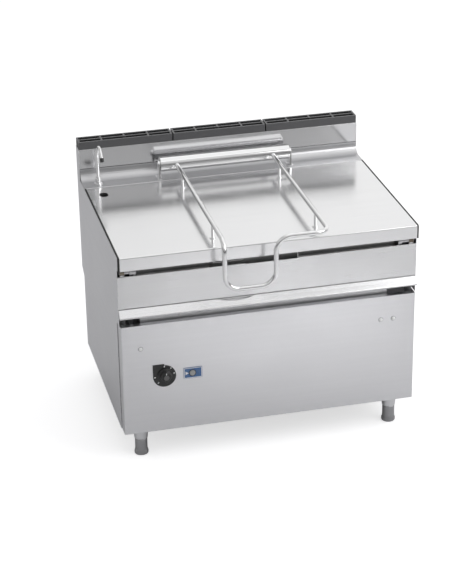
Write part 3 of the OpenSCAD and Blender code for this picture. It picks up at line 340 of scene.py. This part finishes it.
def build_edges():
    """Edge = how far the bevelled normal leans from the true one, broken up by noise."""
    tree, given, made = new_group("rubbed_edges", {"Vector": "vector", "Breakup": 40.0},
                                  {"Edge": "NodeSocketFloat", "Rounded Normal": "NodeSocketVector"})
    bevel = add(tree, "ShaderNodeBevel", {"Radius": EDGE_REACH}, samples=EDGE_SAMPLES)
    facing = add(tree, "ShaderNodeNewGeometry")
    dot = add(tree, "ShaderNodeVectorMath", operation="DOT_PRODUCT")
    patch = add(tree, "ShaderNodeTexNoise", {"Detail": 3.0})
    link(tree, (bevel.outputs[0], dot.inputs[0]), (facing.outputs["Normal"], dot.inputs[1]),
         (given["Vector"], patch.inputs["Vector"]), (given["Breakup"], patch.inputs["Scale"]))
    leaning = ramp(tree, dot.outputs["Value"], 0.995, 0.9, 0.0, 1.0)
    uneven = ramp(tree, patch.outputs["Fac"], 0.3, 0.6, 0.35, 1.0)
    link(tree, (math_node(tree, "MULTIPLY", leaning, uneven), made["Edge"]),
         (bevel.outputs[0], made["Rounded Normal"]))
    return tree


EDGES = build_edges()
print("group", EDGES.name, "nodes", len(EDGES.nodes))


# %% [markdown]
# A base material is a Principled shader with its constants on its own sockets. A recipe then fills in
# what changes over the surface. Every recipe needs the same few moves: place a group, mix two
# colours, and turn a height into a bumped normal.
# %% Helpers for recipes
def blank_material(name, **sockets):
    """A material with one Principled shader, its constants set, and the object's own coordinates."""
    material = bpy.data.materials.new(name)
    material.use_nodes = True
    tree = material.node_tree
    tree.nodes.clear()
    constants = {key.replace("_", " "): value for key, value in sockets.items()}
    shader = add(tree, "ShaderNodeBsdfPrincipled", constants)
    out = add(tree, "ShaderNodeOutputMaterial")
    link(tree, (shader.outputs[0], out.inputs[0]))
    coords = add(tree, "ShaderNodeTexCoord")
    return material, tree, shader, coords.outputs["Object"]


def use_group(tree, group, vector, values=()):
    """The outputs of that group, placed here at that position with its own values."""
    node = add(tree, "ShaderNodeGroup", node_tree=group)
    for key, value in dict(values).items():
        node.inputs[key].default_value = value
    link(tree, (vector, node.inputs["Vector"]))
    return node.outputs


def tinted(tree, base, other, factor):
    """From base, a colour or a socket, to the other colour, by a factor that varies."""
    node = add(tree, "ShaderNodeMix", {"B": (*other, 1)}, data_type="RGBA")
    if isinstance(base, bpy.types.NodeSocket):
        link(tree, (base, node.inputs["A"]))
    else:
        node.inputs["A"].default_value = (*base, 1)
    link(tree, (factor, node.inputs["Factor"]))
    return node.outputs["Result"]


def scaled_colour(colour, by):
    """The colour times a number, and at most 1."""
    return tuple(min(1.0, part * by) for part in colour)


def finish_surface(tree, shader, colour, rough, height, normal, depth):
    """Joins what varies to the shader: its colour, its roughness, and a bump of that depth."""
    bump = add(tree, "ShaderNodeBump", {"Strength": 1.0, "Distance": depth})
    link(tree, (height, bump.inputs["Height"]), (normal, bump.inputs["Normal"]),
         (colour, shader.inputs["Base Color"]), (rough, shader.inputs["Roughness"]),
         (bump.outputs[0], shader.inputs["Normal"]))


print("recipe helpers ready")

# %% [markdown]
# Sheet steel is one recipe with many values: how bright it is, how rough, which way its grain runs,
# and how strongly wipes and drops show. The lid and the tubes are nearly polished, the panels are
# satin, the recesses are matt, and what meets the flame has turned dark.
# %% Recipe: satin and polished steel
# Scratches per metre along X, Y and Z: few along the grain and many across it.
GRAIN_ALONG = {"x": (6.0, 1400.0, 1400.0), "y": (1400.0, 6.0, 1400.0), "z": (1400.0, 1400.0, 6.0)}
STREAK_DARKER = 0.985
EDGE_BRIGHTER = 1.12
EDGE_RUBBED = 0.25
EDGE_SMOOTHER = 0.1


def steel(name, colour, rough, along="x", depth=0.02, wipes=0.06, drops=0.03, spread=0.05):
    """Ground steel: roughness = its mean + grain + wipes + drops - rubbed edges; colour = its own,
    darker in the streaks and brighter on the edges. The scratches' depth is in millimetres."""
    material, tree, shader, place = blank_material(name, Metallic=1.0)
    stretched = add(tree, "ShaderNodeMapping", {"Scale": GRAIN_ALONG[along]})
    link(tree, (place, stretched.inputs["Vector"]))
    grain = use_group(tree, BRUSHED, stretched.outputs[0])
    marks = use_group(tree, HANDLING, place)
    edges = use_group(tree, EDGES, place)
    level = ramp(tree, grain["Grain"], 0.3, 0.7, rough - spread, rough + spread)
    level = math_node(tree, "ADD", level, math_node(tree, "MULTIPLY", marks["Wipes"], wipes))
    level = math_node(tree, "ADD", level, math_node(tree, "MULTIPLY", marks["Drops"], drops))
    smoother = math_node(tree, "MULTIPLY", edges["Edge"], EDGE_SMOOTHER)
    level = math_node(tree, "SUBTRACT", level, smoother, clamp=True)
    streak = ramp(tree, grain["Streak"], 0.35, 0.65, 0.0, 1.0)
    shade = tinted(tree, colour, scaled_colour(colour, STREAK_DARKER), streak)
    rubbed = math_node(tree, "MULTIPLY", edges["Edge"], EDGE_RUBBED)
    shade = tinted(tree, shade, scaled_colour(colour, EDGE_BRIGHTER), rubbed)
    finish_surface(tree, shader, shade, level, grain["Grain"], edges["Rounded Normal"], depth * MM)
    return material


STEELS = {
    "lid_steel": dict(colour=(0.86, 0.86, 0.865), rough=0.16, depth=0.01, wipes=0.04, spread=0.025),
    "panel_steel": dict(colour=(0.785, 0.785, 0.80), rough=0.31, depth=0.012, spread=0.035),
    "side_steel": dict(colour=(0.78, 0.78, 0.795), rough=0.33, along="y"),
    "apron_steel": dict(colour=(0.78, 0.78, 0.785), rough=0.29, depth=0.012, spread=0.035),
    "splash_steel": dict(colour=(0.80, 0.80, 0.81), rough=0.13, depth=0.006, wipes=0.04, spread=0.03),
    "ledge_steel": dict(colour=(0.89, 0.89, 0.90), rough=0.24, depth=0.008, wipes=0.03),
    "tube_steel": dict(colour=(0.90, 0.90, 0.905), rough=0.08, depth=0.006, wipes=0.04, spread=0.02),
    # The deck's steel is darker than the other sheet steel: painted shade on the deck and its cove.
    "deck_steel": dict(colour=(0.60, 0.60, 0.61), rough=0.30),
    "recess_steel": dict(colour=(0.80, 0.80, 0.81), rough=0.48),
    "foot_steel": dict(colour=(0.44, 0.44, 0.45), rough=0.32, along="z", depth=0.03),
    "sooted_steel": dict(colour=(0.075, 0.072, 0.068), rough=0.62, along="z", depth=0.06,
                         wipes=0.2, drops=0.2),
    "pan_steel": dict(colour=(0.58, 0.58, 0.58), rough=0.44, depth=0.03, wipes=0.12, drops=0.1),
    "machined_steel": dict(colour=(0.58, 0.58, 0.59), rough=0.34, depth=0.04),
    "spring_steel": dict(colour=(0.30, 0.30, 0.31), rough=0.42, depth=0.03),
}
FINISH = {name: steel(name, **look) for name, look in STEELS.items()}
print(len(FINISH), "steel finishes")

# %% [markdown]
# Zinc-coated sheet freezes in crystals, so the inner frame shows flat-sided patches of slightly
# different grey. A Voronoi texture gives each patch its own value, which moves the colour and gloss.
# %% Recipe: galvanised sheet
CRYSTALS_PER_METRE = 70.0
CRYSTAL_DARKER = 0.72


def galvanised(name, colour):
    """Each cell's red moves the colour, its green the roughness and its blue the height."""
    material, tree, shader, place = blank_material(name, Metallic=0.9)
    cells = add(tree, "ShaderNodeTexVoronoi", {"Scale": CRYSTALS_PER_METRE, "Randomness": 1.0})
    split = add(tree, "ShaderNodeSeparateColor")
    link(tree, (place, cells.inputs["Vector"]), (cells.outputs["Color"], split.inputs[0]))
    red, green, blue = split.outputs
    edges = use_group(tree, EDGES, place)
    shade = tinted(tree, colour, scaled_colour(colour, CRYSTAL_DARKER), red)
    rough = math_node(tree, "ADD", ramp(tree, green, 0.0, 1.0, 0.38, 0.58),
                      math_node(tree, "MULTIPLY", noise(tree, place, 300.0), 0.08))
    finish_surface(tree, shader, shade, rough, blue, edges["Rounded Normal"], 0.03 * MM)
    return material


FINISH["galvanised_sheet"] = galvanised("galvanised_sheet", (0.62, 0.63, 0.64))
print("galvanised sheet in", CRYSTALS_PER_METRE, "crystals a metre")

# %% [markdown]
# The flue grates are cast iron under a thin matt enamel. The casting leaves a low orange-peel bump,
# pores show as dark pinpricks, and the enamel has worn to grey along the ribs' top edges. Down in
# the openings it is painted near black, as painted shade. The paint of the gearmotor and gas valve is
# the same recipe.
# %% Recipe: enamelled casting
PORES_FINER = 2.3
PORE_DARKER = 0.55
EDGE_WORN = 0.8
# Near-black painted shade for the deep walls of the grate openings.
OPENING_SHADE = (0.006, 0.006, 0.006)


def casting(name, colour, worn, rough, peel=0.2, scale=420.0, painted_shade=None):
    """Orange-peel enamel with pores and rubbed edges. The peel's depth is in millimetres, and
    the last argument, a function of tree and place, may give a mask that blackens it as painted shade."""
    material, tree, shader, place = blank_material(name, Metallic=0.0, Specular_IOR_Level=0.45)
    edges = use_group(tree, EDGES, place, {"Breakup": 90.0})
    height = noise(tree, place, scale, 3.0, 0.6)
    pores = ramp(tree, noise(tree, place, scale * PORES_FINER, 1.0), 0.62, 0.72, 0.0, 1.0)
    shade = tinted(tree, colour, scaled_colour(colour, PORE_DARKER), pores)
    shade = tinted(tree, shade, worn, math_node(tree, "MULTIPLY", edges["Edge"], EDGE_WORN))
    # Painted shade: the mask blackens the walls deep in the openings.
    if painted_shade:
        shade = tinted(tree, shade, OPENING_SHADE, painted_shade(tree, place))
    level = ramp(tree, height, 0.3, 0.7, rough - 0.08, rough + 0.08)
    finish_surface(tree, shader, shade, level, height, edges["Rounded Normal"], peel * MM)
    return material


def inside_grate(tree, place):
    """Where painted shade goes: 1 on the walls of the openings, below the top face and between the
    front and rear faces.
    """
    low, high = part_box("flue_grate_left")
    split = add(tree, "ShaderNodeSeparateXYZ")
    link(tree, (place, split.inputs[0]))
    deep = ramp(tree, split.outputs["Z"], high.z - 6 * MM, high.z - 1 * MM, 1.0, 0.0)
    behind_front = math_node(tree, "GREATER_THAN", split.outputs["Y"], low.y + 2 * MM)
    before_rear = math_node(tree, "LESS_THAN", split.outputs["Y"], high.y - 2 * MM)
    return math_node(tree, "MULTIPLY", deep, math_node(tree, "MULTIPLY", behind_front, before_rear))


FINISH["grate_enamel"] = casting("grate_enamel", (0.11, 0.11, 0.115), (0.50, 0.50, 0.51), 0.42,
                                 painted_shade=inside_grate)
FINISH["motor_paint"] = casting("motor_paint", (0.10, 0.11, 0.125), (0.3, 0.3, 0.31), 0.38,
                                peel=0.3, scale=260.0)

# %% [markdown]
# Moulded plastic and rubber are not metal. The knob is a hard matt plastic with a fine spark-eroded
# texture, the edge strips are soft rubber that holds dust, and the switch parts are smooth.
# The white print on them is a paint with the same recipe and less texture.
# %% Recipe: plastic and rubber
DUST = (0.35, 0.35, 0.34)
DUST_TINT = 0.12
DUST_DULLS = 0.3
EDGE_PALE = 0.12


def moulded(name, colour, rough, texture=0.04, scale=2600.0, dust=0.25):
    """Colour = its own, towards dust in the wiped patches and on the edges; roughness = its mean +
    the texture + dust. The texture's depth is in millimetres."""
    material, tree, shader, place = blank_material(name, Metallic=0.0)
    marks = use_group(tree, HANDLING, place, {"Wipe Scale": 25.0, "Drop Scale": 400.0})
    edges = use_group(tree, EDGES, place, {"Breakup": 120.0})
    skin = noise(tree, place, scale, 2.0, 0.6)
    settled = math_node(tree, "MULTIPLY", marks["Wipes"], dust * DUST_TINT)
    paler = math_node(tree, "MULTIPLY", edges["Edge"], EDGE_PALE)
    dusty = math_node(tree, "ADD", settled, paler, clamp=True)
    level = math_node(tree, "ADD", ramp(tree, skin, 0.3, 0.7, rough - 0.05, rough + 0.05),
                      math_node(tree, "MULTIPLY", marks["Wipes"], dust * DUST_DULLS), clamp=True)
    shade = tinted(tree, colour, DUST, dusty)
    finish_surface(tree, shader, shade, level, skin, edges["Rounded Normal"], texture * MM)
    return material


MOULDED = {
    "knob_plastic": dict(colour=(0.020, 0.020, 0.020), rough=0.36),
    "edge_rubber": dict(colour=(0.012, 0.012, 0.012), rough=0.62, texture=0.08, scale=1500.0,
                        dust=0.5),
    "blue_plate": dict(colour=(0.070, 0.150, 0.330), rough=0.28, texture=0.01),
    "button_plastic": dict(colour=(0.36, 0.37, 0.36), rough=0.32, texture=0.01),
    "cap_plastic": dict(colour=(0.11, 0.11, 0.11), rough=0.3),
    "ring_plastic": dict(colour=(0.03, 0.04, 0.06), rough=0.3, texture=0.01),
    "mark_paint": dict(colour=(0.86, 0.87, 0.88), rough=0.45, texture=0.01, scale=3000.0, dust=0.1),
}
FINISH.update({name: moulded(name, **look) for name, look in MOULDED.items()})
print(len(MOULDED), "plastic and rubber finishes")


# %% [markdown]
# The manifold and the water fitting are bright brass, and the trunnions run in bronze that is darkened
# as painted shade for the dark gap under the lid, with a cloudy tarnish on both. The indicator lamps
# are unlit. Their domes are coloured near white, a painted highlight for the glint on their lenses,
# and a fine cell bump stands for facets moulded inside.
# %% Recipe: yellow metals and lamp domes
def yellow_metal(name, colour, tarnish, rough):
    """Colour and roughness both follow one cloud: duller and 0.2 rougher where it is tarnished."""
    material, tree, shader, place = blank_material(name, Metallic=1.0)
    cloud = ramp(tree, noise(tree, place, 45.0, 4.0, 0.6), 0.4, 0.7, 0.0, 1.0)
    edges = use_group(tree, EDGES, place)
    finish_surface(tree, shader, tinted(tree, colour, tarnish, cloud),
                   ramp(tree, cloud, 0.0, 1.0, rough, rough + 0.2),
                   noise(tree, place, 900.0), edges["Rounded Normal"], 0.02 * MM)
    return material


def highlight_white_dome(name, colour):
    """Near-white plastic, its colour a painted highlight for the lamps' glint: the distance to each
    cell's centre moves colour, gloss and height.
    """
    material, tree, shader, place = blank_material(name, Metallic=0.0, IOR=1.49,
                                                   Transmission_Weight=0.05)
    cells = add(tree, "ShaderNodeTexVoronoi", {"Scale": 520.0})
    link(tree, (place, cells.inputs["Vector"]))
    facet = cells.outputs["Distance"]
    edges = use_group(tree, EDGES, place)
    finish_surface(tree, shader, tinted(tree, colour, scaled_colour(colour, 0.9), facet),
                   ramp(tree, facet, 0.0, 0.6, 0.05, 0.16), facet, edges["Rounded Normal"], 0.2 * MM)
    return material


# The bronze is darker than bare bronze: partly its own colour, partly painted shade for the gap.
FINISH["bronze_bush"] = yellow_metal("bronze_bush", (0.27, 0.235, 0.19), (0.17, 0.14, 0.11), 0.4)
FINISH["brass_fitting"] = yellow_metal("brass_fitting", (0.78, 0.60, 0.30), (0.50, 0.36, 0.18), 0.25)
# Near-white domes: their colour is a painted highlight.
FINISH["lamp_lens"] = highlight_white_dome("lamp_lens", (0.98, 0.98, 0.98))
print(len(FINISH), "finishes in all")

# %% [markdown]
# Each solid now gets its finish. The list reads like a parts list: one finish, then what it covers.
# A solid left off the list would keep the frame's plain colour, so the cell stops if one is missing.
# %% Dress the solids
COVERED = {
    "lid_steel": ["lid_shell"],
    "panel_steel": ["front_panel", "rear_panel_upper", "rear_panel_lower", "leg_collars"],
    "side_steel": ["side_panel_left", "side_panel_right"],
    "apron_steel": ["apron"],
    "splash_steel": ["backsplash"],
    "deck_steel": ["rear_deck", "rear_gutter"],
    "ledge_steel": ["ledge"],
    "tube_steel": ["lid_handle", "handle_posts", "spring_housing", "hinge_brackets",
                   "tap_base", "tap_spout"],
    "recess_steel": ["recess_strip", "pouring_recess"],
    "pan_steel": ["pan_vessel", "pan_rim", "pan_base_plate"],
    "machined_steel": ["trunnions", "tilt_sector", "drive_pinion", "trunnion_brackets",
                       "hinge_shaft", "panel_screws"],
    "foot_steel": ["foot_front_left", "foot_front_right", "foot_rear_left", "foot_rear_right"],
    "spring_steel": ["balance_springs", "burners"],
    "sooted_steel": ["flue_duct"],
    "galvanised_sheet": ["base_frame", "corner_posts", "support_beams", "combustion_chamber",
                         "lid_stiffeners", "pan_jacket", "gas_pipe"],
    "grate_enamel": ["flue_grate_left", "flue_grate_middle", "flue_grate_right"],
    "motor_paint": ["tilt_gearmotor", "gas_valve"],
    "knob_plastic": ["control_knob", "dial_bezel", "tap_aerator", "cable_gland"],
    "edge_rubber": ["lid_edge_left", "lid_edge_right"],
    "blue_plate": ["switch_plate"],
    "button_plastic": ["push_button"],
    "bronze_bush": ["trunnion_bushes"],
    "brass_fitting": ["gas_manifold", "water_pipe"],
    "lamp_lens": ["indicator_lamps"],
}
for finish, members in COVERED.items():
    for member in members:
        nodes[member].data.materials.clear()
        nodes[member].data.materials.append(FINISH[finish])
undressed = sorted(set(nodes) - {member for members in COVERED.values() for member in members})
if undressed:
    raise ValueError(f"no finish for {undressed}")
print("dressed", len(nodes), "solids")

# %% [markdown]
# The dial's marks are printed in white on the black bezel. They are thin raised pieces a tenth of a
# millimetre proud, so that they catch light like real ink and leave the solid untouched. A mark is a
# short bar turned about the dial's middle, so one function lays them all out from their angles.
# %% Dial marks
INK = 0.12 * MM
MARK_ANGLES = [math.radians(angle) for angle in (-139, -97, 0, 41, 81)]
MARK_INNER, MARK_OUTER, MARK_WIDTH = 36 * MM, 42 * MM, 4.4 * MM


def front_of(name):
    """The X and Z of the middle of that solid, and the Y of its front face."""
    low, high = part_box(name)
    return np.array([(low.x + high.x) / 2, (low.z + high.z) / 2]), low.y


def bar_outline(angle, inner, outer, width):
    """Corners, as X and Z and clockwise from the front, of a bar that points away from the centre at
    that angle: the inner and outer radius along it, plus and minus half the width across it."""
    away = np.array([math.sin(angle), math.cos(angle)])
    across = np.array([away[1], -away[0]]) * width / 2
    return np.array([away * inner + across, away * inner - across,
                     away * outer - across, away * outer + across])


def add_piece(name, mesh, body, finish):
    """A new piece of the object: its mesh, its finish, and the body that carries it."""
    piece = new_object(name, mesh)
    piece.data.materials.append(FINISH[finish])
    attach(piece, body)


def raised(name, outlines, front, body, finish):
    """Ink on a face that looks along -Y: each outline, X and Z corners clockwise from the front, is
    lifted from that face by the thickness of ink, with a wall quad at each of its sides."""
    verts, faces, start = [], [], 0
    for outline in outlines:
        count = len(outline)
        corner = start + np.arange(count)
        after = start + (np.arange(count) + 1) % count
        verts += [np.insert(outline, 1, depth, axis=1) for depth in (front, front - INK)]
        faces += [corner.tolist(), (corner + count)[::-1].tolist()]
        faces += np.stack([corner, corner + count, after + count, after], -1).tolist()
        start += 2 * count
    mesh = bpy.data.meshes.new(name)
    mesh.from_pydata(np.concatenate(verts).tolist(), [], faces)
    mesh.update()
    add_piece(name, mesh, body, finish)


dial_middle, dial_face = front_of("dial_bezel")
marks = [bar_outline(angle, MARK_INNER, MARK_OUTER, MARK_WIDTH) + dial_middle
         for angle in MARK_ANGLES]
raised("dial_marks", marks, dial_face, "cabinet", "mark_paint")
print(len(marks), "dial marks round", dial_middle.round(4).tolist())

# %% [markdown]
# The knob has a paler cap let into its face and one white line that points at a mark. Both turn with
# the knob, so they ride on its body and not on the cabinet's.
# %% Knob cap and pointer
CAP_RADIUS = 11 * MM
POINTER_INNER, POINTER_OUTER, POINTER_WIDTH = 13 * MM, 20 * MM, 2.2 * MM


def disc_outline(radius, count=48):
    """Corners of a circle, as X and Z: equal steps of angle, clockwise from the front."""
    turn = np.linspace(0, 2 * np.pi, count, endpoint=False)
    return radius * np.stack([np.sin(turn), np.cos(turn)], -1)


knob_middle, knob_face = front_of("control_knob")
raised("knob_cap", [disc_outline(CAP_RADIUS) + knob_middle], knob_face, "knob", "cap_plastic")
pointer = bar_outline(0.0, POINTER_INNER, POINTER_OUTER, POINTER_WIDTH) + knob_middle
raised("knob_pointer", [pointer], knob_face, "knob", "mark_paint")
print("knob face at", round(knob_face, 4))

# %% [markdown]
# The switch plate is a blue moulding with a pale border and a triangle that points to the button. The
# border is a frame of four thin bars, each a plain outline.
# %% Switch plate print
BORDER = 2.6 * MM
BORDER_INSET = 1.2 * MM
TRIANGLE = np.array([(0, -8), (0, 8), (13, 0)]) * MM
TRIANGLE_INSET = 6 * MM


def bar_between(x0, z0, x1, z1):
    """Corners of an upright rectangle, as X and Z, clockwise from the front."""
    return np.array([(x0, z0), (x0, z1), (x1, z1), (x1, z0)])


plate_low, plate_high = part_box("switch_plate")
left, right = plate_low.x + BORDER_INSET, plate_high.x - BORDER_INSET
bottom, top = plate_low.z + BORDER_INSET, plate_high.z - BORDER_INSET
border = [bar_between(left, bottom, right, bottom + BORDER),
          bar_between(left, top - BORDER, right, top),
          bar_between(left, bottom + BORDER, left + BORDER, top - BORDER),
          bar_between(right - BORDER, bottom + BORDER, right, top - BORDER)]
raised("plate_border", border, plate_low.y, "cabinet", "mark_paint")
triangle_place = (left + TRIANGLE_INSET, (bottom + top) / 2)
raised("plate_triangle", [TRIANGLE + triangle_place], plate_low.y, "cabinet", "mark_paint")
print("plate print", round((right - left) / MM, 1), "mm wide")

# %% [markdown]
# A dark moulded ring guards the push button. It is a rectangle carried round a circle, which is a
# grid whose rows and columns both close on themselves.
# %% Button ring
BUTTON_GAP = 0.8 * MM
BUTTON_RING_REACH = 4 * MM
BUTTON_RING_DEPTH = 0.6 * MM


def flat_ring(name, centre, inner, outer, front, thickness, count=64):
    """A flat ring that looks along -Y. At angle a, a corner of its rectangle with radius r lies at
    X = centre + r sin a and Z = centre + r cos a, on the face or one thickness in front of it."""
    turn = np.linspace(0, 2 * np.pi, count, endpoint=False)[:, None]
    radius = np.array([inner, inner, outer, outer])
    depth = np.array([front, front - thickness, front - thickness, front]) + 0 * turn
    points = [centre[0] + radius * np.sin(turn), depth, centre[1] + radius * np.cos(turn)]
    mesh = grid_mesh(name, np.stack(points, -1), closed=True)
    add_piece(name, mesh, "cabinet", "ring_plastic")


button_middle, _ = front_of("push_button")
button_low, button_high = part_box("push_button")
button_radius = (button_high.x - button_low.x) / 2
flat_ring("button_ring", button_middle, button_radius + BUTTON_GAP,
          button_radius + BUTTON_RING_REACH, plate_low.y, BUTTON_RING_DEPTH)
print("button ring round", round(button_radius / MM, 1), "mm radius")

# %% [markdown]
# Each indicator lamp is a near-white dome, its colour a painted highlight, held in the panel by a thin
# dark clip ring, which keeps the pale dome readable against pale steel. The three domes are one solid,
# so their places come from its ends and from the pitch of the right-hand pair.
# %% Lamp clip rings
LAMP_PITCH = 52 * MM
CLIP_GAP = 0.1 * MM
CLIP_REACH = 1.1 * MM
CLIP_DEPTH = 0.8 * MM

lamp_low, lamp_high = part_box("indicator_lamps")
dome_radius = (lamp_high.z - lamp_low.z) / 2
outer_lamp = lamp_high.x - dome_radius
lamp_places = {"left": lamp_low.x + dome_radius,
               "inner": outer_lamp - LAMP_PITCH, "outer": outer_lamp}
panel_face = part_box("front_panel")[0].y
for side, x in lamp_places.items():
    flat_ring("lamp_ring_" + side, (x, lamp_low.z + dome_radius), dome_radius + CLIP_GAP,
              dome_radius + CLIP_REACH, panel_face, CLIP_DEPTH)
print("lamps at", [round(x, 3) for x in lamp_places.values()])
